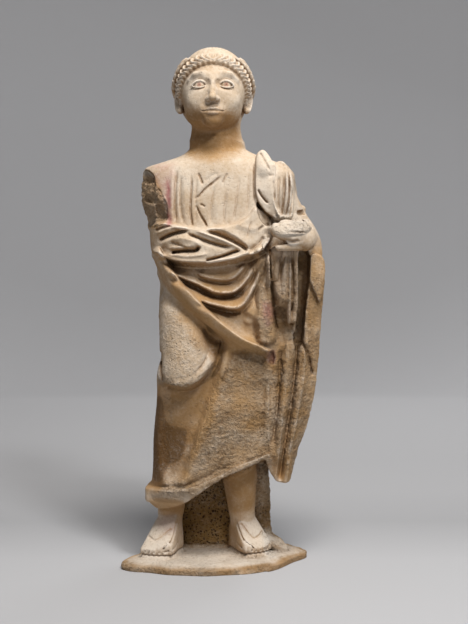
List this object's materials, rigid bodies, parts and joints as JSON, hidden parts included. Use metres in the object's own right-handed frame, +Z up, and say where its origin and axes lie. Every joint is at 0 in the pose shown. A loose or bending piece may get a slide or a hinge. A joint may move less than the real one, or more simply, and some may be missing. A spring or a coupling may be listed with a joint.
{
  "type": "votary statue",
  "caption": "Standing draped youth of carved limestone on a thin plinth, cloak over the left forearm, right arm broken off at the shoulder.",
  "frame": {"origin": "on the flat underside of the plinth, below the middle of the figure", "axes": "+Z up through the head, -Y the way the figure faces, +X towards its left hand"},
  "size_m": [0.3597, 0.2233, 0.92],
  "materials": {
    "limestone": "weathered matt limestone, cream on the high parts, yellow-brown in the hollows, with faint pink traces of paint"
  },
  "bodies": {
    "root": {"votary_statue": "limestone"}
  },
  "joints": []
}
